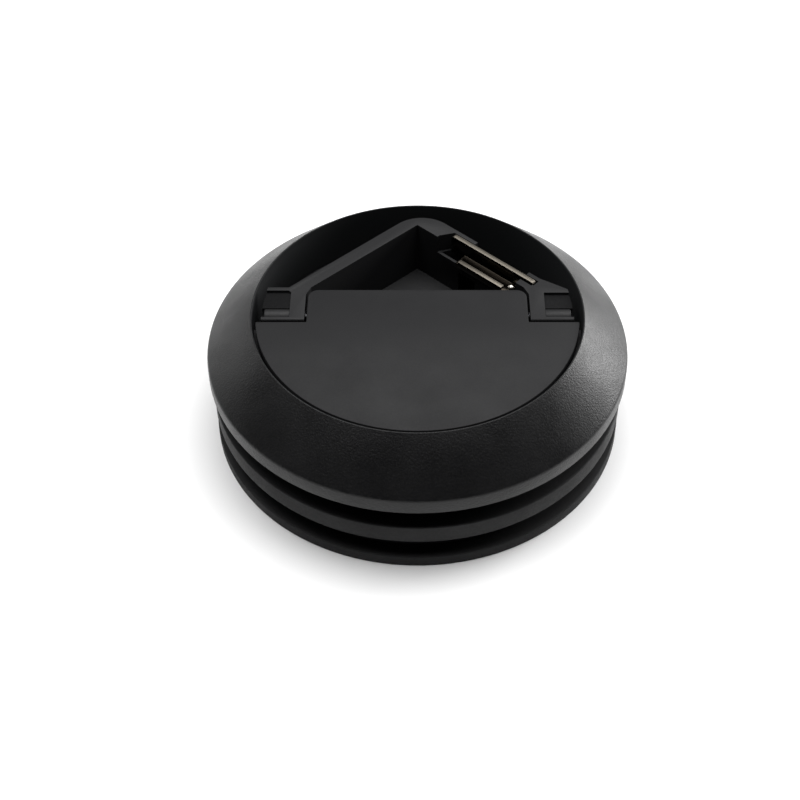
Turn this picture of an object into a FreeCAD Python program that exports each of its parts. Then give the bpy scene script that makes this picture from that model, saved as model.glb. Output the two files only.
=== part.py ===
import FreeCAD, Part
import math
import os

# Flip-lid cable grommet for an 80 mm hole in a desk top.
# Millimetres.  Origin: middle of the bottom edge.  +Z up, the lid's hinge runs along X,
# the cable opening is at -Y and the finger pocket at +Y.

# ---- driving dimensions -------------------------------------------------------------
HOLE_DIA = 80.0
HOLE_BITE = 0.15             # the ribs are this much larger in radius and grip the desk hole
SKIRT_R = 40.8
TOTAL_H = 27.1
FLANGE_TOP = 2.45            # heights of the two grooves and the rib between them
RIB_BOTTOM = 6.9
RIB_TOP = 10.9
SKIRT_BOTTOM = 15.7
SKIRT_TOP = 18.9
GROOVE_R = 37.0
SEAT_IN = 40.2               # the land under the skirt that lies on the desk top
SEAT_RELIEF = 0.3
RIM_R = 31.95
BORE_R = 31.7
SHELL = 2.0                  # wall of the collar's cone
SHOULDER_R = 1.0             # rounding between cone and skirt
TUBE_T = 1.6                 # wall of the collar's inner tube
SPIGOT_T = 1.8               # wall behind the upper groove
LEDGE_R = 30.2
LEDGE_TOP = 13.4

TRAY_R = 31.4
TRAY_FLOOR_T = 1.5
DECK_Z = TOTAL_H - 0.4       # common top of the lid, the brackets and the V wall
LID_T = 2.3
LID_R = 31.0
LID_REAR = -2.7              # rear edge of the lid's round part
TONGUE_HALF = 21.2
TONGUE_REAR = 6.4
LID_GAP = 0.4

HINGE_Y = 0.1
HINGE_DROP = 1.5             # hinge axis below the deck
PIN_R = 0.75
PIN_FIT = 0.05
BARREL_R = 1.5
KNUCKLE_R = 2.1
KNUCKLE_IN = 14.5

BRACKET_FRONT = -2.2
BRACKET_R = 29.9             # outer end of the brackets
BRACKET_WALL = 2.9
POCKET_DEPTH = 0.6
V_ANGLE = 42.7               # the V wall's arms, from the X axis
V_IN = 19.2                  # inner face of both arms, from the origin
V_OUT_LEFT = 22.1            # outer faces: the right arm is wider, for the clip
V_OUT_RIGHT = 23.3
APEX_R = 7.0

SCREW_RING_R = 28.2
SCREW_ANGLES = (40.0, 140.0, 220.0, 320.0)
SCREW_R = 1.25
HEAD_R = 2.7

hinge_z = DECK_Z - HINGE_DROP
rib_r = HOLE_DIA / 2 + HOLE_BITE
floor_top = LEDGE_TOP + TRAY_FLOOR_T
bracket_in = TONGUE_HALF + LID_GAP
pocket_in = bracket_in + BRACKET_WALL
lid_bottom = DECK_Z - LID_T

os.makedirs("parts", exist_ok=True)
V = FreeCAD.Vector


# ---- shape helpers ------------------------------------------------------------------
def box(x0, x1, y0, y1, z0, z1):
    return Part.makeBox(x1 - x0, y1 - y0, z1 - z0, V(x0, y0, z0))


def disc(r, z0, z1, x=0.0, y=0.0):
    return Part.makeCylinder(r, z1 - z0, V(x, y, z0))


def ring(r_out, r_in, z0, z1):
    return disc(r_out, z0, z1).cut(disc(r_in, z0 - 1, z1 + 1))


def rod_x(r, x0, x1, y=HINGE_Y, z=None):
    z = hinge_z if z is None else z
    return Part.makeCylinder(r, x1 - x0, V(x0, y, z), V(1, 0, 0))


def turned(profile):
    """Solid of revolution about Z from a closed (radius, height) outline."""
    points = [V(r, 0, z) for r, z in profile]
    face = Part.Face(Part.makePolygon(points + points[:1]))
    return face.revolve(V(0, 0, 0), V(0, 0, 1), 360)


def prism(outline, z0, z1):
    points = [V(x, y, z0) for x, y in outline]
    face = Part.Face(Part.makePolygon(points + points[:1]))
    return face.extrude(V(0, 0, z1 - z0))


def mirrored(shape):
    return shape.mirror(V(0, 0, 0), V(1, 0, 0))


def spun(shape, angle):
    copy = shape.copy()
    copy.rotate(V(0, 0, 0), V(0, 0, 1), angle)
    return copy


def fused(shapes):
    return shapes[0].multiFuse(shapes[1:]).removeSplitter()


def at_edges(shape, test, size, chamfer=False):
    """Round or chamfer the edges whose mid-point passes the test."""
    chosen = [e for e in shape.Edges if test(e.valueAt((e.FirstParameter + e.LastParameter) / 2), e)]
    return shape.makeChamfer(size, chosen) if chamfer else shape.makeFillet(size, chosen)


def write(name, shape):
    solids = [s for s in shape.Solids]
    result = solids[0] if len(solids) == 1 else Part.makeCompound(solids)
    result.exportStep("parts/%s.step" % name)
    print("%-24s solids %d valid %s volume %.1f" % (name, len(solids), result.isValid(), result.Volume))


# ---- collar: the conical bezel with its skirt, spigot and inner tube ----------------------
def bezel_collar():
    tube_r = BORE_R + TUBE_T
    spigot_in = GROOVE_R - SPIGOT_T
    slope = (TOTAL_H - SKIRT_TOP) / (SKIRT_R - RIM_R)
    drop = SHELL * math.hypot(1, slope)              # wall thickness measured down the Z axis
    inner_r = SKIRT_R - SHELL
    inner_top = TOTAL_H - slope * (tube_r - RIM_R) - drop
    inner_low = SKIRT_TOP + slope * (SKIRT_R - inner_r) - drop
    shell = turned([
        (BORE_R, RIB_TOP), (tube_r, RIB_TOP), (tube_r, inner_top), (inner_r, inner_low),
        (inner_r, SKIRT_BOTTOM + SHELL), (spigot_in, SKIRT_BOTTOM + SHELL), (spigot_in, RIB_TOP),
        (GROOVE_R, RIB_TOP), (GROOVE_R, SKIRT_BOTTOM + SEAT_RELIEF),
        (SEAT_IN, SKIRT_BOTTOM + SEAT_RELIEF), (SEAT_IN, SKIRT_BOTTOM), (SKIRT_R - 0.2, SKIRT_BOTTOM),
        (SKIRT_R, SKIRT_BOTTOM + 0.2), (SKIRT_R, SKIRT_TOP), (RIM_R + 0.15, TOTAL_H - 0.15),
        (RIM_R, TOTAL_H), (BORE_R + 0.2, TOTAL_H), (BORE_R, TOTAL_H - 0.2)])

    def shoulder(p, e):
        return abs(p.z - SKIRT_TOP) < 0.01 and math.hypot(p.x, p.y) > SKIRT_R - 0.01

    shell = at_edges(shell, shoulder, SHOULDER_R)
    ledge = ring(BORE_R + 0.5, LEDGE_R, RIB_TOP, LEDGE_TOP)
    lugs = [screw_lug(a, RIB_TOP, LEDGE_TOP, LEDGE_R + 1.0) for a in SCREW_ANGLES]
    webs = []
    for i in range(12):
        web = box(tube_r - 0.5, spigot_in + 0.5, -0.7, 0.7, SKIRT_BOTTOM - 1.0, inner_low + 1.0)
        webs.append(spun(web, 15 + 30 * i))
    collar = fused([shell, ledge] + lugs + webs)
    for a in SCREW_ANGLES:
        collar = collar.cut(screw_hole(a, 1.6, RIB_TOP - 1, LEDGE_TOP + 1))
    return collar


def screw_lug(angle, z0, z1, reach):
    """A round-ended lug that reaches inwards from the wall to a screw."""
    pad = disc(3.6, z0, z1, SCREW_RING_R, 0)
    neck = box(SCREW_RING_R, reach, -3.6, 3.6, z0, z1)
    return spun(pad.fuse(neck), angle)


def screw_hole(angle, r, z0, z1):
    return spun(disc(r, z0, z1, SCREW_RING_R, 0), angle)


# ---- sleeve: the ribbed ring that fills the desk hole --------------------------------------
LUG_T = 2.2
SLEEVE_IN = 35.3


def hole_sleeve():
    lug_z = RIB_TOP - LUG_T
    key_in = BORE_R + TUBE_T + 0.2
    key_out = GROOVE_R - SPIGOT_T - 0.2
    body = turned([
        (SLEEVE_IN, 0), (rib_r - 0.2, 0), (rib_r, 0.2), (rib_r, FLANGE_TOP - 0.2),
        (rib_r - 0.2, FLANGE_TOP), (GROOVE_R, FLANGE_TOP), (GROOVE_R, RIB_BOTTOM),
        (rib_r - 0.25, RIB_BOTTOM), (rib_r, RIB_BOTTOM + 0.25), (rib_r, RIB_TOP - 0.25),
        (rib_r - 0.25, RIB_TOP), (key_out, RIB_TOP), (key_out, RIB_TOP + 3.0),
        (key_in, RIB_TOP + 3.0), (key_in, lug_z), (SLEEVE_IN, lug_z)])
    lugs = [screw_lug(a, lug_z, RIB_TOP, key_in + 1.0) for a in SCREW_ANGLES]
    sleeve = fused([body] + lugs)
    for a in SCREW_ANGLES:
        sleeve = sleeve.cut(screw_hole(a, 1.6, lug_z - 1, RIB_TOP + 1))
    return sleeve


# ---- the V wall: two arms at V_ANGLE that meet in a rounded apex ---------------------------
def arm_frame():
    """Unit vectors along the right arm, from the apex down, and out across it."""
    a = math.radians(V_ANGLE)
    return (math.cos(a), -math.sin(a)), (math.sin(a), math.cos(a))


def arm_point(u, v):
    along, across = arm_frame()
    return (u * along[0] + v * across[0], u * along[1] + v * across[1])


def arm_box(u0, u1, v0, v1, z0, z1):
    corners = [arm_point(u0, v0), arm_point(u1, v0), arm_point(u1, v1), arm_point(u0, v1)]
    return prism(corners, z0, z1)


def v_wall():
    a = math.radians(V_ANGLE)
    end_u = 14.2
    inner = arm_point(end_u, V_IN)
    right = arm_point(end_u, V_OUT_RIGHT)
    left = arm_point(end_u, V_OUT_LEFT)
    apex_in = (0, V_IN / math.cos(a))
    apex_out = ((V_OUT_RIGHT - V_OUT_LEFT) / (2 * math.sin(a)), (V_OUT_RIGHT + V_OUT_LEFT) / (2 * math.cos(a)))
    outline = [apex_out, right, inner, apex_in, (-inner[0], inner[1]), (-left[0], left[1])]
    wall = prism(outline, LEDGE_TOP, DECK_Z)

    def apex_edge(p, e):
        return abs(p.x - apex_out[0]) < 0.01 and abs(p.y - apex_out[1]) < 0.01

    return at_edges(wall, apex_edge, APEX_R)


# ---- catch clip: stamped channel on the right arm, two flanges and a web -------------------
CLIP_T = 1.0
WEB_TOP = DECK_Z - 3.1
WEB_V = (18.4, 22.3)         # across the arm
WEB_U = (-6.6, 8.2)          # along the arm
OUTER_U = (-10.3, 11.2)
OUTER_TOP = DECK_Z + 0.05
INNER_U = (-6.0, 5.4)
INNER_TOP = DECK_Z - 2.6
RIVET_UV = (6.6, 20.3)
RIVET_R = 0.55


def catch_clip():
    web_z = WEB_TOP - CLIP_T
    web = arm_box(WEB_U[0], WEB_U[1], WEB_V[0], WEB_V[1], web_z, WEB_TOP)
    outer = arm_box(OUTER_U[0], OUTER_U[1], WEB_V[1] - CLIP_T, WEB_V[1], web_z, OUTER_TOP)
    inner = arm_box(INNER_U[0], INNER_U[1], WEB_V[0], WEB_V[0] + CLIP_T, web_z, INNER_TOP)
    clip = fused([web, outer, inner])

    def flange_end(p, e):
        along, across = arm_frame()
        u = p.x * along[0] + p.y * along[1]
        v = p.x * across[0] + p.y * across[1]
        level = abs(p.z - OUTER_TOP) < 0.01
        return level and v > WEB_V[1] - CLIP_T - 0.01 and (u < OUTER_U[0] + 0.01 or u > OUTER_U[1] - 0.01)

    clip = at_edges(clip, flange_end, 0.8)
    hole = arm_point(*RIVET_UV)
    return clip.cut(disc(RIVET_R + 0.02, web_z - 1, WEB_TOP + 1, hole[0], hole[1]))


def clip_rivet():
    x, y = arm_point(*RIVET_UV)
    shank = disc(RIVET_R, WEB_TOP - CLIP_T - 1.8, WEB_TOP + 0.1, x, y)
    dome = Part.makeSphere(0.95, V(x, y, WEB_TOP - 0.25))
    dome = dome.common(box(x - 2, x + 2, y - 2, y + 2, WEB_TOP, WEB_TOP + 2))
    return fused([shank, dome])


# ---- tray: the fixed insert with brackets, V wall, finger pocket and cable opening ---------
TRAY_RING_IN = 28.6
TRAY_RING_TOP = DECK_Z - LID_T - 0.6
REAR_LIP_TOP = LEDGE_TOP + 3.4
CROSS_WALL = (-3.4, -1.6)
BOSS_R = 3.0


def bracket(rear, pocket_rear):
    """Hinge bracket at +X: walls round a shallow pocket, and a saddle for the bush."""
    front = box(bracket_in, TRAY_R, BRACKET_FRONT, 5.0, LEDGE_TOP, DECK_Z)
    block = front.fuse(prism(rear, LEDGE_TOP, DECK_Z)).common(disc(BRACKET_R, LEDGE_TOP, DECK_Z))
    block = block.removeSplitter()

    def front_top(p, e):
        return abs(p.y - BRACKET_FRONT) < 0.01 and abs(p.z - DECK_Z) < 0.01

    block = at_edges(block, front_top, 0.5)
    barrel_room = rod_x(BARREL_R, pocket_in, TRAY_R + 1)
    above = box(pocket_in, TRAY_R + 1, HINGE_Y - BARREL_R, HINGE_Y + BARREL_R, hinge_z, DECK_Z + 1)
    pocket = box(pocket_in, TRAY_R + 1, HINGE_Y, pocket_rear, DECK_Z - POCKET_DEPTH, DECK_Z + 1)
    block = block.cut(barrel_room.fuse(above).fuse(pocket))
    return block.cut(rod_x(PIN_R, bracket_in - 1, pocket_in + 1))


def insert_tray():
    rear_side = box(-TRAY_R, TRAY_R, CROSS_WALL[0], TRAY_R, LEDGE_TOP, DECK_Z)
    floor = disc(TRAY_R, LEDGE_TOP, floor_top).common(rear_side)
    rear_lip = ring(TRAY_R, TRAY_R - 1.2, LEDGE_TOP, REAR_LIP_TOP).common(rear_side)
    front_side = box(-TRAY_R, TRAY_R, -TRAY_R, BRACKET_FRONT + 0.2, LEDGE_TOP, DECK_Z)
    front_ring = ring(TRAY_R, TRAY_RING_IN, LEDGE_TOP, TRAY_RING_TOP).common(front_side)
    cross = box(-TRAY_R, TRAY_R, CROSS_WALL[0], CROSS_WALL[1], LEDGE_TOP, hinge_z - 2.6)
    cross = cross.common(disc(TRAY_R, LEDGE_TOP, DECK_Z))
    heel = [(bracket_in, 5.0), (TRAY_R, 5.0), (TRAY_R, 5.2), (29.0, 6.6), (26.2, 8.3),
            (23.4, 9.9), (18.5, 9.3), (bracket_in - 0.9, 7.0)]
    rear_wall = [(bracket_in, 5.0), (TRAY_R, 5.0), (TRAY_R, 7.0), (bracket_in - 0.9, 7.0)]
    right = bracket(heel, 5.5)
    left = mirrored(bracket(rear_wall, 6.1))
    bosses = []
    for a in SCREW_ANGLES:
        boss = disc(BOSS_R, LEDGE_TOP, floor_top + 2.0, SCREW_RING_R, 0)
        bosses.append(spun(boss, a))
    tray = fused([floor, rear_lip, front_ring, cross, right, left, v_wall()] + bosses)
    for a in SCREW_ANGLES:
        tray = tray.cut(screw_hole(a, SCREW_R + 0.05, LEDGE_TOP - 1, LEDGE_TOP + 2.8))
    undercut = arm_box(-6.4, -2.0, V_IN - 1, V_OUT_RIGHT - 1.2, floor_top, WEB_TOP - CLIP_T - 2.0)
    return tray.cut(undercut).cut(clip_notch()).cut(buffer_seats())


def clip_notch():
    """Cut-down in the right arm where the clip lies, with a pilot for its rivet."""
    web_z = WEB_TOP - CLIP_T
    flange_in = WEB_V[1] - CLIP_T
    flange_out = WEB_V[1] + 0.15
    corners = [arm_point(-12.2, V_IN - 2), arm_point(8.4, V_IN - 2), arm_point(8.4, flange_out),
               arm_point(-10.45, flange_out), arm_point(-12.2, V_IN + 0.5)]
    low = prism(corners, web_z, DECK_Z + 1)
    pit_corners = [arm_point(-11.6, V_IN + 0.6), arm_point(-7.2, V_IN + 0.6),
                   arm_point(-7.2, V_OUT_RIGHT - 1.1), arm_point(-10.2, V_OUT_RIGHT - 1.1)]
    pit = prism(pit_corners, web_z - 5.6, web_z + 1)
    strip_end = arm_box(-5.0, 8.4, V_IN, V_OUT_RIGHT + 2, web_z, DECK_Z + 1)
    slot = arm_box(8.3, OUTER_U[1] + 0.3, flange_in - 0.35, flange_out, web_z, DECK_Z + 1)
    shelf = arm_box(8.3, OUTER_U[1], V_IN + 1.4, flange_in - 0.3, web_z, DECK_Z + 1)
    x, y = arm_point(*RIVET_UV)
    pilot = disc(RIVET_R, web_z - 1.9, web_z + 1, x, y)
    return low.fuse(pit).fuse(strip_end).fuse(slot).fuse(shelf).fuse(pilot)


# ---- buffers: soft dots on the ring under the lid's front edge -----------------------------
BUFFER_ANGLES = {"left": 232.0, "right": 308.0}
BUFFER_RING_R = 29.7
BUFFER_R = 1.0


def buffer_at(angle, r, z0, z1):
    a = math.radians(angle)
    return disc(r, z0, z1, BUFFER_RING_R * math.cos(a), BUFFER_RING_R * math.sin(a))


def buffer_seats():
    seats = [buffer_at(a, BUFFER_R, TRAY_RING_TOP - 1.0, TRAY_RING_TOP + 1) for a in BUFFER_ANGLES.values()]
    return seats[0].fuse(seats[1])


def lid_buffer(side):
    return buffer_at(BUFFER_ANGLES[side], BUFFER_R, TRAY_RING_TOP - 1.0, lid_bottom - 0.1)


# ---- lid: round front, square tongue behind the hinge --------------------------------------
RIB_DEPTH = 1.5
LID_RIB_R = 27.8


def lid_flap():
    round_part = disc(LID_R, lid_bottom, DECK_Z).common(
        box(-LID_R, LID_R, -LID_R, LID_REAR, lid_bottom, DECK_Z))
    tongue = box(-TONGUE_HALF, TONGUE_HALF, LID_REAR - 1, TONGUE_REAR, lid_bottom, DECK_Z)

    def rear_corner(p, e):
        upright = abs(p.z - (DECK_Z + lid_bottom) / 2) < 0.01
        return upright and abs(p.y - TONGUE_REAR) < 0.01 and abs(abs(p.x) - TONGUE_HALF) < 0.01

    tongue = at_edges(tongue, rear_corner, 2.0)
    plate = round_part.fuse(tongue).removeSplitter()

    def top_rim(p, e):
        return abs(p.z - DECK_Z) < 0.01

    plate = at_edges(plate, top_rim, 0.3, chamfer=True)
    skin = box(-LID_R, LID_R, -LID_R, LID_R, 0, DECK_Z - 0.35)
    knuckle = rod_x(KNUCKLE_R, KNUCKLE_IN, TONGUE_HALF).common(skin)
    rib_top = lid_bottom + 0.3
    rib_low = lid_bottom - RIB_DEPTH
    hoop = ring(LID_RIB_R, LID_RIB_R - 1.0, rib_low, rib_top)
    hoop = hoop.common(box(-LID_R, LID_R, -LID_R, -5.0, rib_low, rib_top))
    inside = disc(LID_RIB_R - 0.5, rib_low, rib_top)
    beam = box(-LID_R, LID_R, -6.0, -5.0, rib_low, rib_top).common(inside)
    ribs = [hoop, beam]
    for x in (-18.0, -9.0, 0.0, 9.0, 18.0):
        ribs.append(box(x - 0.5, x + 0.5, -LID_R, -5.5, rib_low, rib_top).common(inside))
    lid = fused([plate, knuckle, mirrored(knuckle)] + ribs)
    bore = rod_x(PIN_R + PIN_FIT, KNUCKLE_IN - 0.6, TONGUE_HALF + 1)
    return lid.cut(bore).cut(mirrored(bore))


# ---- hinge: steel pins, plastic bushes and spring washers ----------------------------------
PIN_X = (KNUCKLE_IN, 29.0)
BUSH_X = (pocket_in, 29.4)


def hinge_pin():
    pin = rod_x(PIN_R, PIN_X[0], PIN_X[1])

    def ends(p, e):
        return abs(p.x - PIN_X[0]) < 0.01 or abs(p.x - PIN_X[1]) < 0.01

    return at_edges(pin, ends, 0.15, chamfer=True)


def hinge_bush():
    bush = rod_x(BARREL_R, BUSH_X[0], BUSH_X[1])

    def outer_end(p, e):
        return abs(p.x - BUSH_X[1]) < 0.01

    bush = at_edges(bush, outer_end, 0.3, chamfer=True)
    return bush.cut(rod_x(PIN_R, BUSH_X[0] - 1, BUSH_X[1] + 1))


def friction_washer():
    x0 = TONGUE_HALF + 0.12
    x1 = bracket_in
    washer = rod_x(1.35, x0, x1)
    return washer.cut(rod_x(PIN_R, x0 - 1, x1 + 1))


# ---- screws: four pan-head thread-forming screws, from below -------------------------------
SHANK_L = 6.4


def assembly_screws():
    head_top = RIB_TOP - LUG_T
    head_low = head_top - 1.9
    head = disc(HEAD_R, head_low, head_top, SCREW_RING_R, 0)

    def under_rim(p, e):
        return abs(p.z - head_low) < 0.01

    head = at_edges(head, under_rim, 0.7)
    shank = disc(SCREW_R, head_top, head_top + SHANK_L, SCREW_RING_R, 0)
    tip = Part.makeCone(SCREW_R, 0.5, 0.9, V(SCREW_RING_R, 0, head_top + SHANK_L))
    cross = box(-1.5, 1.5, -0.35, 0.35, 0, 1.1)
    cross = cross.fuse(box(-0.35, 0.35, -1.5, 1.5, 0, 1.1))
    cross.translate(V(SCREW_RING_R, 0, head_low - 0.01))
    screw = fused([head, shank, tip]).cut(cross)
    return Part.makeCompound([spun(screw, a) for a in SCREW_ANGLES])


write("bezel_collar", bezel_collar())
write("hole_sleeve", hole_sleeve())
write("insert_tray", insert_tray())
write("catch_clip", catch_clip())
write("clip_rivet", clip_rivet())
write("lid_flap", lid_flap())
for name, maker in (("hinge_pin", hinge_pin), ("hinge_bush", hinge_bush), ("friction_washer", friction_washer)):
    write(name + "_right", maker())
    write(name + "_left", mirrored(maker()))
for side in BUFFER_ANGLES:
    write("lid_buffer_" + side, lid_buffer(side))
write("assembly_screws", assembly_screws())
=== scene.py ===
import math

import bmesh
import bpy
from mathutils import Matrix, Vector


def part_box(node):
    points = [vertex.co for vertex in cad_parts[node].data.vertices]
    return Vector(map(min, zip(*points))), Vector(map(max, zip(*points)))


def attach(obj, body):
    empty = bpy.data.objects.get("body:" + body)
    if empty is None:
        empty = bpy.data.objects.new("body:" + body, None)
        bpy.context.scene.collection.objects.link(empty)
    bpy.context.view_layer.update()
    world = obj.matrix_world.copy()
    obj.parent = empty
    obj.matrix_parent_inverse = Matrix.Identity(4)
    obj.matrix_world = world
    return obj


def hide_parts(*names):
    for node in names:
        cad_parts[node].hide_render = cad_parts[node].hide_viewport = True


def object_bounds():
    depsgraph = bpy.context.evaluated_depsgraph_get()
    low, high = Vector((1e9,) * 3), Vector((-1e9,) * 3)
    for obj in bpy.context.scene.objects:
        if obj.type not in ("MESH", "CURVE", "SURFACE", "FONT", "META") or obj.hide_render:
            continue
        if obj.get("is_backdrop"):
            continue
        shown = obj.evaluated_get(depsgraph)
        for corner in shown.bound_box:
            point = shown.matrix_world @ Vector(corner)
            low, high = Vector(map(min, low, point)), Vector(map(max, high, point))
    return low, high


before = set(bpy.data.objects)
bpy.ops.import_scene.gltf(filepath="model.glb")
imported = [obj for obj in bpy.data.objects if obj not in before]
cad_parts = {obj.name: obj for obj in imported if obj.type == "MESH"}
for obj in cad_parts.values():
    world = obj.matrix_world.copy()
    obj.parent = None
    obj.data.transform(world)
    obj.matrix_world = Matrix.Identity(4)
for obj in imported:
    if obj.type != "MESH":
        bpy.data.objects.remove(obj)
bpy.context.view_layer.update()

# ---------------------------------------------------------------------------------------
# Camera.  It looks down at 44 degrees on the top of the skirt, from 30 cm away.
# ---------------------------------------------------------------------------------------
MM = 0.001
CAMERA_ELEVATION = math.radians(43.8)
CAMERA_DISTANCE = 0.2958
SKIRT_TOP = 18.9

aim = Vector((0, 0, SKIRT_TOP * MM))
camera_data = bpy.data.cameras.new("camera")
camera_data.lens = 68.3
camera_data.shift_x = -0.0218
camera_data.shift_y = -0.0735
camera_data.clip_start = 0.01
camera = bpy.data.objects.new("camera", camera_data)
bpy.context.scene.collection.objects.link(camera)
back = Vector((0, -math.cos(CAMERA_ELEVATION), math.sin(CAMERA_ELEVATION)))
camera.location = aim + back * CAMERA_DISTANCE
camera.rotation_euler = (-back).to_track_quat("-Z", "Y").to_euler()
bpy.context.scene.camera = camera
bpy.context.scene.view_settings.view_transform = "Standard"


# ---------------------------------------------------------------------------------------
# Floor and lights.  A pale lacquered table top, one soft box overhead and a little behind,
# a strong one low on the right, a weaker one on the left, and a dim room round them.
# ---------------------------------------------------------------------------------------
def linear(colour):
    """sRGB hex colour as linear RGBA."""
    parts = [int(colour[i:i + 2], 16) / 255 for i in (1, 3, 5)]
    return tuple(c / 12.92 if c <= 0.04045 else ((c + 0.055) / 1.055) ** 2.4 for c in parts) + (1.0,)


def add_node(tree, kind, inputs=None, **settings):
    """A node with its settings; inputs maps a socket name or number to a value or to an output."""
    node = tree.nodes.new(kind)
    for key, value in settings.items():
        setattr(node, key, value)
    for key, value in (inputs or {}).items():
        if isinstance(value, bpy.types.NodeSocket):
            tree.links.new(value, node.inputs[key])
        else:
            node.inputs[key].default_value = value
    return node


def new_material(name, colour, roughness):
    """A material with its colour and roughness set, its node tree and its Principled shader."""
    material = bpy.data.materials.new(name)
    material.use_nodes = True
    tree = material.node_tree
    shader = tree.nodes["Principled BSDF"]
    shader.inputs["Base Color"].default_value = linear(colour)
    shader.inputs["Roughness"].default_value = roughness
    return material, tree, shader


lacquer, tree, shader = new_material("pale_table_lacquer", "#f2f2f2", 0.7)
bm = bmesh.new()
bmesh.ops.create_grid(bm, x_segments=1, y_segments=1, size=3.0)
floor_mesh = bpy.data.meshes.new("floor")
bm.to_mesh(floor_mesh)
bm.free()
floor_mesh.materials.append(lacquer)
floor = bpy.data.objects.new("floor", floor_mesh)
bpy.context.scene.collection.objects.link(floor)
floor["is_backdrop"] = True


def soft_box(name, azimuth, elevation, distance, width, height, power):
    """An area light that faces the grommet; azimuth 0 is behind it, 90 to its right."""
    data = bpy.data.lights.new(name, "AREA")
    data.shape = "RECTANGLE"
    data.size = width
    data.size_y = height
    data.energy = power
    light = bpy.data.objects.new(name, data)
    bpy.context.scene.collection.objects.link(light)
    a, e = math.radians(azimuth), math.radians(elevation)
    way = Vector((math.sin(a) * math.cos(e), math.cos(a) * math.cos(e), math.sin(e)))
    light.location = way * distance
    light.rotation_euler = way.to_track_quat("Z", "Y").to_euler()


soft_box("overhead", 0, 80, 0.9, 1.4, 0.85, 18)
soft_box("right_window", 60, 14, 0.8, 0.4, 0.25, 5.4)
soft_box("left_fill", -60, 14, 0.9, 0.35, 0.2, 0.6)
world = bpy.data.worlds.new("dim_room")
world.use_nodes = True
world.node_tree.nodes["Background"].inputs["Color"].default_value = (0.06, 0.06, 0.06, 1)
bpy.context.scene.world = world


# ---------------------------------------------------------------------------------------
# Collar.  Injection-moulded black ABS with a spark-eroded skin: the cone, its skirt, the
# wall behind the upper groove and the inner tube with its ledge, turned from one outline;
# twelve webs stiffen it and four lugs take the screws.
# ---------------------------------------------------------------------------------------
def rounded(outline, steps=4):
    """The closed outline of (x, y, radius) corners with each corner turned into an arc."""
    points = []
    for i, (x, y, radius) in enumerate(outline):
        corner = Vector((x, y))
        if radius == 0:
            points.append(corner)
            continue
        back = (Vector(outline[i - 1][:2]) - corner).normalized()
        onward = (Vector(outline[(i + 1) % len(outline)][:2]) - corner).normalized()
        half = back.angle(onward) / 2
        centre = corner + (back + onward).normalized() * radius / math.sin(half)
        start = corner + back * radius / math.tan(half) - centre
        end = corner + onward * radius / math.tan(half) - centre
        for k in range(steps + 1):
            points.append(centre + start.slerp(end, k / steps) * radius)
    return points


def turn(bm, outline, steps, closed=True):
    """Adds the solid swept by an outline of (radius, height) points round the Z axis."""
    verts = [bm.verts.new((r, 0, z)) for r, z in outline]
    pairs = list(zip(verts, verts[1:])) + ([(verts[-1], verts[0])] if closed else [])
    edges = [bm.edges.new(pair) for pair in pairs]
    bmesh.ops.spin(bm, geom=verts + edges, cent=(0, 0, 0), axis=(0, 0, 1), dvec=(0, 0, 0),
                   angle=math.tau, steps=steps, use_merge=True, use_duplicate=False)
    bmesh.ops.remove_doubles(bm, verts=bm.verts, dist=0.0005)


def soften(bm, edge):
    """Rounds every edge sharper than 30 degrees."""
    bmesh.ops.recalc_face_normals(bm, faces=bm.faces)
    sharp = [e for e in bm.edges if e.calc_face_angle(0) > math.radians(30)]
    bmesh.ops.bevel(bm, geom=sharp, offset=edge, segments=2, profile=0.5, affect="EDGES",
                    clamp_overlap=True, material=-1)


def join(bm, part):
    """Adds a finished part to the piece's mesh."""
    mesh = bpy.data.meshes.new("part")
    part.to_mesh(mesh)
    part.free()
    bm.from_mesh(mesh)
    bpy.data.meshes.remove(mesh)


def block(bm, outline, low, high, edge=0.15):
    """Adds an upright block with the given outline and softened edges."""
    part = bmesh.new()
    base = part.faces.new([part.verts.new((x, y, low)) for x, y in outline])
    lifted = bmesh.ops.extrude_face_region(part, geom=[base])["geom"]
    raised = [v for v in lifted if isinstance(v, bmesh.types.BMVert)]
    bmesh.ops.translate(part, vec=(0, 0, high - low), verts=raised)
    soften(part, edge)
    join(bm, part)


SCREW_RING_R = 28.2
SCREW_ANGLES = (40, 140, 220, 320)


def screw_lug(bm, angle, low, high, reach):
    """Adds a round-ended lug with a screw hole, which reaches out to the wall."""
    pad_r, hole_r, count = 3.6, 1.6, 40
    part = bmesh.new()
    loops = []
    for z, is_pad in ((low, False), (low, True), (high, True), (high, False)):
        loop = []
        for i in range(count):
            c, s = math.cos(math.tau * i / count), math.sin(math.tau * i / count)
            r = hole_r
            if is_pad:
                to_wall = reach - SCREW_RING_R
                r = pad_r if c < 0.001 else min(to_wall / c, pad_r / max(abs(s), 0.001))
            loop.append(part.verts.new((SCREW_RING_R + r * c, r * s, z)))
        loops.append(loop)
    for near, far in zip(loops, loops[1:] + loops[:1]):
        for i in range(count):
            part.faces.new((near[i - 1], near[i], far[i], far[i - 1]))
    soften(part, 0.15)
    bmesh.ops.rotate(part, matrix=Matrix.Rotation(math.radians(angle), 3, "Z"), verts=part.verts)
    join(bm, part)


def finished(bm, name, material, crease=32):
    """The mesh as an object in metres: normals outward, smooth except at creases."""
    bmesh.ops.scale(bm, vec=(MM, MM, MM), verts=bm.verts)
    bmesh.ops.recalc_face_normals(bm, faces=bm.faces)
    for face in bm.faces:
        face.smooth = True
    for edge in bm.edges:
        edge.smooth = edge.calc_face_angle(0) < math.radians(crease)
    mesh = bpy.data.meshes.new(name)
    bm.to_mesh(mesh)
    bm.free()
    mesh.materials.append(material)
    made = bpy.data.objects.new(name, mesh)
    bpy.context.scene.collection.objects.link(made)
    return made


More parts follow.
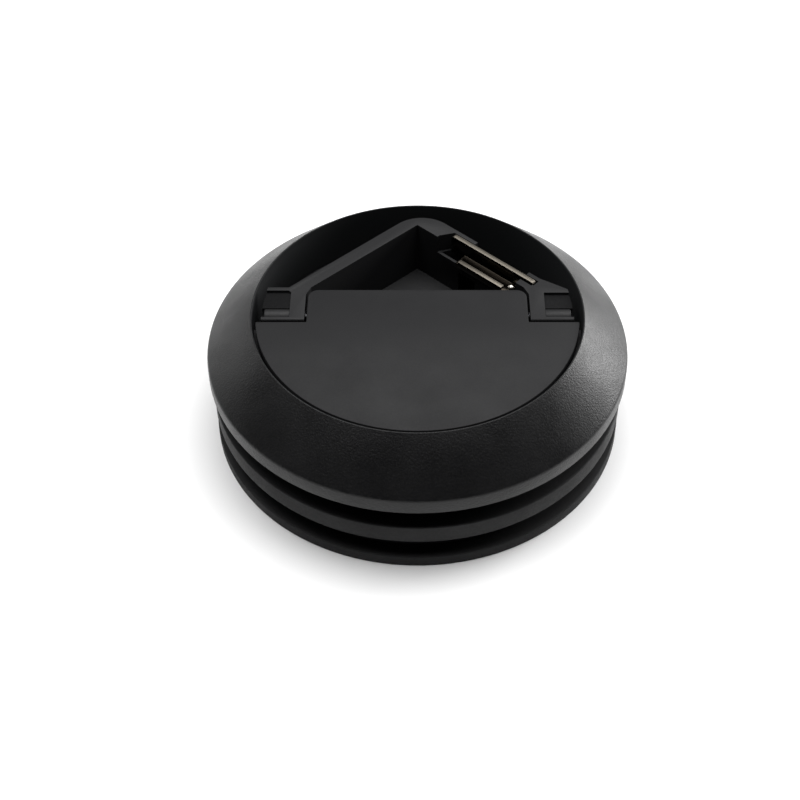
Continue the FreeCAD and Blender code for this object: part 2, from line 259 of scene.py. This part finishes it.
def moulded(name, colour, roughness, specular, grain, depth):
    """Moulded plastic: a skin of fine pits of the given size and depth in mm, and a polish
    that varies from pit to pit and over centimetres."""
    material, tree, shader = new_material(name, colour, roughness)
    shader.inputs["Specular IOR Level"].default_value = specular
    place = add_node(tree, "ShaderNodeTexCoord").outputs["Object"]
    pits = add_node(tree, "ShaderNodeTexNoise", {"Vector": place, "Scale": 1 / (grain * MM), "Detail": 3.0})
    cloud = add_node(tree, "ShaderNodeTexNoise", {"Vector": place, "Scale": 1 / (9 * MM), "Detail": 2.0})
    uneven = add_node(tree, "ShaderNodeMath", {0: cloud.outputs[0], 1: pits.outputs[0]}, operation="ADD")
    polish = add_node(tree, "ShaderNodeMapRange", {
        "Value": uneven.outputs[0], "From Min": 0.7, "From Max": 1.3,
        "To Min": roughness - 0.08, "To Max": roughness + 0.08})
    skin = add_node(tree, "ShaderNodeBump", {
        "Height": pits.outputs[0], "Distance": depth * MM, "Strength": 1.0})
    tree.links.new(polish.outputs[0], shader.inputs["Roughness"])
    tree.links.new(skin.outputs[0], shader.inputs["Normal"])
    return material


# Spark-eroded ABS, a fine even grain with a satin shine.
bezel_abs = moulded("black_abs_spark_eroded", "#0b0b0c", 0.38, 0.27, 0.35, 0.06)
# The bore comes off the core of the mould, with a duller and so greyer skin.
bore_abs = moulded("black_abs_core_side", "#1d1e1f", 0.6, 0.2, 0.4, 0.01)
BORE_R, RIM_R, SKIRT_R, GROOVE_R = 31.7, 31.95, 40.8, 37.0
TOP_Z, SKIRT_LOW, LEDGE_Z, JOINT_Z = 27.1, 15.7, 13.4, 10.9
bm = bmesh.new()
turn(bm, rounded([
    # ledge, bore and rim
    (30.2, JOINT_Z, 0.1), (30.2, LEDGE_Z, 0.1), (BORE_R, LEDGE_Z, 0), (BORE_R, TOP_Z, 0.1),
    (RIM_R, TOP_Z, 0.08),
    # cone, skirt and the land that lies on the desk
    (SKIRT_R, SKIRT_TOP, 1.0), (SKIRT_R, SKIRT_LOW, 0.2), (40.2, SKIRT_LOW, 0.1), (40.2, 16.0, 0),
    # wall behind the upper groove, outside and inside
    (GROOVE_R, 16.0, 0), (GROOVE_R, JOINT_Z, 0.1), (35.2, JOINT_Z, 0.1), (35.2, 17.7, 0.3),
    # underside of the cone, back to the inner tube
    (38.8, 17.7, 0.3), (38.8, 18.03, 0), (33.3, 23.12, 0.5), (33.3, JOINT_Z, 0.1)]), 256)
WEB_COUNT = 12
web_size = (2.9, 1.4, 4.3)
web_middle = (34.25, 0, 16.85)
for i in range(WEB_COUNT):
    part = bmesh.new()
    bmesh.ops.create_cube(part, size=1.0, matrix=Matrix.Diagonal(web_size + (1,)))
    bmesh.ops.translate(part, vec=web_middle, verts=part.verts)
    way = math.radians(15 + 360 / WEB_COUNT * i)
    bmesh.ops.rotate(part, matrix=Matrix.Rotation(way, 3, "Z"), verts=part.verts)
    join(bm, part)
for angle in SCREW_ANGLES:
    screw_lug(bm, angle, JOINT_Z, LEDGE_Z, 31.2)
for face in bm.faces:
    middle = face.calc_center_median()
    is_bore = math.hypot(middle.x, middle.y) < BORE_R + 0.1 and middle.z > LEDGE_Z + 0.1
    face.material_index = 1 if is_bore else 0
collar = finished(bm, "collar", bezel_abs)
collar.data.materials.append(bore_abs)
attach(collar, "grommet")
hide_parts("bezel_collar")


# ---------------------------------------------------------------------------------------
# Sleeve.  The ribbed ring that fills the desk hole, in duller black ABS: the bottom flange,
# the rib, the two groove floors and the key that centres it in the collar.
# ---------------------------------------------------------------------------------------
# Moulded ABS with the coarser, dull skin of a hidden part.
sleeve_abs = moulded("black_abs_dull", "#121213", 0.58, 0.2, 0.45, 0.02)
RIB_R, FLANGE_Z, RIB_LOW, SHELF_LOW = 40.15, 2.45, 6.9, 8.7
bm = bmesh.new()
turn(bm, rounded([
    # flange, lower groove and rib
    (35.3, 0, 0.15), (RIB_R, 0, 0.2), (RIB_R, FLANGE_Z, 0.2), (GROOVE_R, FLANGE_Z, 0),
    (GROOVE_R, RIB_LOW, 0), (RIB_R, RIB_LOW, 0.25), (RIB_R, JOINT_Z, 0.25),
    # key inside the collar, and the shelf below it
    (35.0, JOINT_Z, 0), (35.0, 13.9, 0.2), (33.5, 13.9, 0.2), (33.5, SHELF_LOW, 0.15),
    (35.3, SHELF_LOW, 0)]), 256)
for angle in SCREW_ANGLES:
    screw_lug(bm, angle, SHELF_LOW, JOINT_Z, 34.5)
sleeve = finished(bm, "sleeve", sleeve_abs)
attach(sleeve, "grommet")
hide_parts("hole_sleeve")


# ---------------------------------------------------------------------------------------
# Tray.  The fixed insert with the hinge brackets, the V wall and the finger pocket, moulded
# in one from fine matt ABS; the solid's own mesh with every outer edge softened.
# ---------------------------------------------------------------------------------------
def softened_copy(node, edge):
    """A CAD node's mesh in mm, its flat faces whole again and its edges rounded."""
    bm = bmesh.new()
    bm.from_mesh(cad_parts[node].data)
    bmesh.ops.scale(bm, vec=(1000, 1000, 1000), verts=bm.verts)
    bmesh.ops.remove_doubles(bm, verts=bm.verts, dist=0.001)
    bmesh.ops.dissolve_limit(bm, angle_limit=math.radians(1), verts=bm.verts, edges=bm.edges)
    soften(bm, edge)
    return bm


# Fine matt skin on top, the same finish as the lid.
tray_abs = moulded("black_abs_fine_matt", "#1e1e1f", 0.6, 0.2, 0.22, 0.006)
# Upright walls and the hinge pockets keep a coarse eroded skin; their darker colour is painted shade,
# standing in for the shade that falls in these recesses.
tray_painted_shade_abs = moulded("black_abs_coarse_painted_shade", "#0f0f10", 0.75, 0.1, 0.5, 0.02)
bm = softened_copy("insert_tray", 0.15)
pocket_low, pocket_high = 25.0, 26.3
# Upright faces and the pocket floors take the darker material: painted shade.
for face in bm.faces:
    is_wall = abs(face.normal.z) < 0.5
    is_pocket = pocket_low < face.calc_center_median().z < pocket_high
    face.material_index = 1 if is_wall or is_pocket else 0
tray = finished(bm, "tray", tray_abs)
tray.data.materials.append(tray_painted_shade_abs)
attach(tray, "grommet")
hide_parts("insert_tray")


# ---------------------------------------------------------------------------------------
# Catch clip.  A channel stamped and folded from 1 mm spring steel strip: faces in a dark brown that is
# painted shade, and up-facing top edges in a lighter, rougher steel that is a painted highlight; one rivet
# holds it.
# ---------------------------------------------------------------------------------------
V_ANGLE = math.radians(42.7)
# Spring steel strip, dark brown as painted shade, with faint rolling lines along the arm.
clip_steel, tree, shader = new_material("spring_steel_painted_shade", "#2e2a25", 0.22)
shader.inputs["Metallic"].default_value = 1.0
place = add_node(tree, "ShaderNodeTexCoord").outputs["Object"]
along = add_node(tree, "ShaderNodeMapping", {
    "Vector": place, "Rotation": (0, 0, V_ANGLE), "Scale": (60, 2500, 2500)})
lines = add_node(tree, "ShaderNodeTexNoise", {"Vector": along.outputs[0], "Scale": 1.0, "Detail": 2.0})
wear = add_node(tree, "ShaderNodeMapRange", {"Value": lines.outputs[0], "To Min": 0.14, "To Max": 0.30})
tree.links.new(wear.outputs[0], shader.inputs["Roughness"])

# The same steel, lighter, on the up-facing top edges: a painted highlight.
highlight_steel, tree, shader = new_material("spring_steel_painted_highlight", "#6c675f", 0.5)
shader.inputs["Metallic"].default_value = 1.0
place = add_node(tree, "ShaderNodeTexCoord").outputs["Object"]
torn = add_node(tree, "ShaderNodeTexNoise", {"Vector": place, "Scale": 1 / (0.25 * MM), "Detail": 2.0})
skin = add_node(tree, "ShaderNodeBump", {"Height": torn.outputs[0], "Distance": 0.02 * MM, "Strength": 0.6})
tree.links.new(skin.outputs[0], shader.inputs["Normal"])

bm = softened_copy("catch_clip", 0.22)
across = Vector((math.sin(V_ANGLE), math.cos(V_ANGLE), 0))
web_near, web_far, web_top = 19.5, 21.2, 23.7
# Up-facing top edges of the flanges take the lighter steel, a painted highlight; all other faces take the
# painted-shade brown.
for face in bm.faces:
    middle = face.calc_center_median()
    is_flange = not web_near < middle.dot(across) < web_far
    is_lit_top_edge = middle.z > web_top and face.normal.z > 0.6
    face.material_index = 1 if is_flange and is_lit_top_edge else 0
clip = finished(bm, "clip", clip_steel)
clip.data.materials.append(highlight_steel)
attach(clip, "grommet")
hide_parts("catch_clip")

# Rivet: a bright domed head on a plain shank, set down through the web.
rivet_steel, tree, shader = new_material("rivet_steel_bright", "#aaa59c", 0.18)
shader.inputs["Metallic"].default_value = 1.0
bm = bmesh.new()
head_r, head_z = 0.95, 23.35
dome = [(head_r * math.cos(math.radians(a)), head_z + head_r * math.sin(math.radians(a)))
        for a in range(15, 90, 8)]
shank = [(0, 20.8), (0.5, 20.8), (0.55, 20.85), (0.55, 23.6), (0.9, 23.6)]
turn(bm, shank + dome + [(0, 24.3)], 40, closed=False)
low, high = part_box("clip_rivet")
centre = (low + high) / 2 / MM
bmesh.ops.translate(bm, vec=(centre.x, centre.y, 0), verts=bm.verts)
rivet = finished(bm, "rivet", rivet_steel)
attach(rivet, "grommet")
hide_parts("clip_rivet")


# ---------------------------------------------------------------------------------------
# Lid.  A round front and a square tongue behind the hinge in one 2.3 mm plate, moulded in
# fine matt ABS, with a hoop and ribs below and two knuckles bored for the hinge pins.
# ---------------------------------------------------------------------------------------
# Fine matt skin, a shade lighter than the bezel.
lid_abs = moulded("black_abs_lid_matt", "#1c1c1d", 0.6, 0.18, 0.22, 0.006)
LID_R, LID_REAR, LID_LOW, DECK = 31.0, -2.7, 24.4, 26.7
TONGUE_HALF, TONGUE_REAR = 21.2, 6.4
RIBS_LOW, RIBS_HIGH, HOOP_OUT_R, HOOP_IN_R = 22.9, 24.7, 27.8, 26.8
HINGE = Vector((0, 0.1, 25.2))
bm = bmesh.new()
side = math.degrees(math.asin(-LID_REAR / LID_R))
front = [(LID_R * math.cos(math.radians(a)), LID_R * math.sin(math.radians(a)))
         for a in [180 + side + (180 - 2 * side) * i / 120 for i in range(121)]]
tongue = rounded([(TONGUE_HALF, LID_REAR, 0), (TONGUE_HALF, TONGUE_REAR, 2.0),
                  (-TONGUE_HALF, TONGUE_REAR, 2.0), (-TONGUE_HALF, LID_REAR, 0)], steps=8)
block(bm, front + [tuple(p) for p in tongue], LID_LOW, DECK, edge=0.3)
hoop = [(HOOP_OUT_R * math.cos(math.radians(a)), HOOP_OUT_R * math.sin(math.radians(a)))
        for a in range(191, 350, 3)]
inner = [(x * HOOP_IN_R / HOOP_OUT_R, y * HOOP_IN_R / HOOP_OUT_R) for x, y in reversed(hoop)]
block(bm, hoop + inner, RIBS_LOW, RIBS_HIGH)
block(bm, [(-26.7, -6.0), (26.7, -6.0), (26.7, -5.0), (-26.7, -5.0)], RIBS_LOW, RIBS_HIGH)
for x in (-18, -9, 0, 9, 18):
    reach = math.sqrt(27.2 ** 2 - x ** 2)
    block(bm, [(x - 0.5, -reach), (x + 0.5, -reach), (x + 0.5, -5.5), (x - 0.5, -5.5)], RIBS_LOW, RIBS_HIGH)
for flip in (1, -1):
    part = bmesh.new()
    turn(part, rounded([(0.8, 14.5, 0.1), (2.1, 14.5, 0.2), (2.1, 21.2, 0.2), (0.8, 21.2, 0.1)]), 48)
    bmesh.ops.rotate(part, matrix=Matrix.Rotation(math.radians(90 * flip), 3, "Y"), verts=part.verts)
    bmesh.ops.translate(part, vec=HINGE, verts=part.verts)
    cut = bmesh.ops.bisect_plane(part, geom=part.verts[:] + part.edges[:] + part.faces[:],
                                 plane_co=(0, 0, 26.35), plane_no=(0, 0, 1), clear_outer=True)
    rim = [e for e in cut["geom_cut"] if isinstance(e, bmesh.types.BMEdge)]
    bmesh.ops.contextual_create(part, geom=rim)
    join(bm, part)
lid = finished(bm, "lid", lid_abs)
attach(lid, "lid")
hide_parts("lid_flap")


# ---------------------------------------------------------------------------------------
# Hinge.  On each side a ground steel pin, pressed into a turned acetal bush that lies in
# the bracket's saddle, and a thin waved steel washer that gives the lid its drag.
# ---------------------------------------------------------------------------------------
# Turned acetal, black, with a smooth dull shine.
acetal = moulded("black_acetal_turned", "#1a1a1b", 0.55, 0.25, 0.6, 0.004)
# Ground steel with a thin black oxide.
pin_steel, tree, shader = new_material("steel_black_oxide", "#3a3a3c", 0.3)
shader.inputs["Metallic"].default_value = 1.0
for name, flip in (("right", 1), ("left", -1)):
    turned_parts = (
        ("bush", "hinge_bush", acetal, "bush_plastic",
         [(0.75, 24.5, 0), (1.5, 24.5, 0.1), (1.5, 29.4, 0.3), (0.75, 29.4, 0)], 0.0),
        ("pin", "hinge_pin", pin_steel, "pin_steel",
         [(0, 14.5, 0), (0.75, 14.5, 0.15), (0.75, 29.0, 0.15), (0, 29.0, 0)], 0.0),
        ("washer", "friction_washer", pin_steel, "pin_steel",
         [(0.75, 21.42, 0), (1.35, 21.42, 0.04), (1.35, 21.5, 0.04), (0.75, 21.5, 0)], 0.08))
    for kind, node, material, slot_name, outline, wave in turned_parts:
        bm = bmesh.new()
        turn(bm, rounded(outline, steps=3), 48, closed=outline[0][0] > 0)
        for vert in bm.verts:
            vert.co.z += wave * math.cos(3 * math.atan2(vert.co.y, vert.co.x))
        bmesh.ops.rotate(bm, matrix=Matrix.Rotation(math.radians(90 * flip), 3, "Y"), verts=bm.verts)
        bmesh.ops.translate(bm, vec=HINGE, verts=bm.verts)
        made = finished(bm, kind + "_" + name, material)
        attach(made, "grommet")
        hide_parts(node + "_" + name)


# ---------------------------------------------------------------------------------------
# Buffers.  Two silicone dots pressed into blind holes in the tray's ring, under the lid's
# front edge, so that it closes softly.
# ---------------------------------------------------------------------------------------
# Moulded silicone, dull.
silicone = moulded("black_silicone", "#141414", 0.75, 0.3, 0.5, 0.01)
BUFFER_RING_R = 29.7
for name, angle in (("left", 232), ("right", 308)):
    bm = bmesh.new()
    turn(bm, [(0, 22.8), (0.95, 22.8), (1.0, 22.85), (1.0, 24.0), (0.93, 24.15), (0.75, 24.26),
              (0.4, 24.3), (0, 24.3)], 32, closed=False)
    way = Vector((math.cos(math.radians(angle)), math.sin(math.radians(angle)), 0))
    bmesh.ops.translate(bm, vec=way * BUFFER_RING_R, verts=bm.verts)
    made = finished(bm, "buffer_" + name, silicone)
    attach(made, "grommet")
    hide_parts("lid_buffer_" + name)


# ---------------------------------------------------------------------------------------
# Screws.  Four pan-head thread-forming screws with a cross recess, driven from below
# through the sleeve's and the collar's lugs into the tray's bosses.
# ---------------------------------------------------------------------------------------
# Black zinc plate.
screw_zinc = moulded("black_zinc_plate", "#1b1b1d", 0.35, 0.6, 0.8, 0.004)
bm = softened_copy("assembly_screws", 0.06)
root_r, crest_r, pitch, turns, steps_per_turn = 1.1, 1.5, 1.0, 5, 24
for angle in SCREW_ANGLES:
    part = bmesh.new()
    corners = [part.verts.new(p) for p in ((root_r, 0, 9.3), (root_r, 0, 9.75), (crest_r, 0, 9.52))]
    section = [part.edges.new((corners[i - 1], corners[i])) for i in range(3)]
    bmesh.ops.spin(part, geom=corners + section, cent=(0, 0, 0), axis=(0, 0, 1),
                   dvec=(0, 0, pitch / steps_per_turn), angle=math.tau * turns,
                   steps=turns * steps_per_turn, use_duplicate=False)
    bmesh.ops.holes_fill(part, edges=part.edges, sides=3)
    bmesh.ops.translate(part, vec=(SCREW_RING_R, 0, 0), verts=part.verts)
    bmesh.ops.rotate(part, matrix=Matrix.Rotation(math.radians(angle), 3, "Z"), verts=part.verts)
    join(bm, part)
screws = finished(bm, "screws", screw_zinc)
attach(screws, "grommet")
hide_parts("assembly_screws")


# ---------------------------------------------------------------------------------------
# The visual model's box, in metres.
# ---------------------------------------------------------------------------------------
low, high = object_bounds()
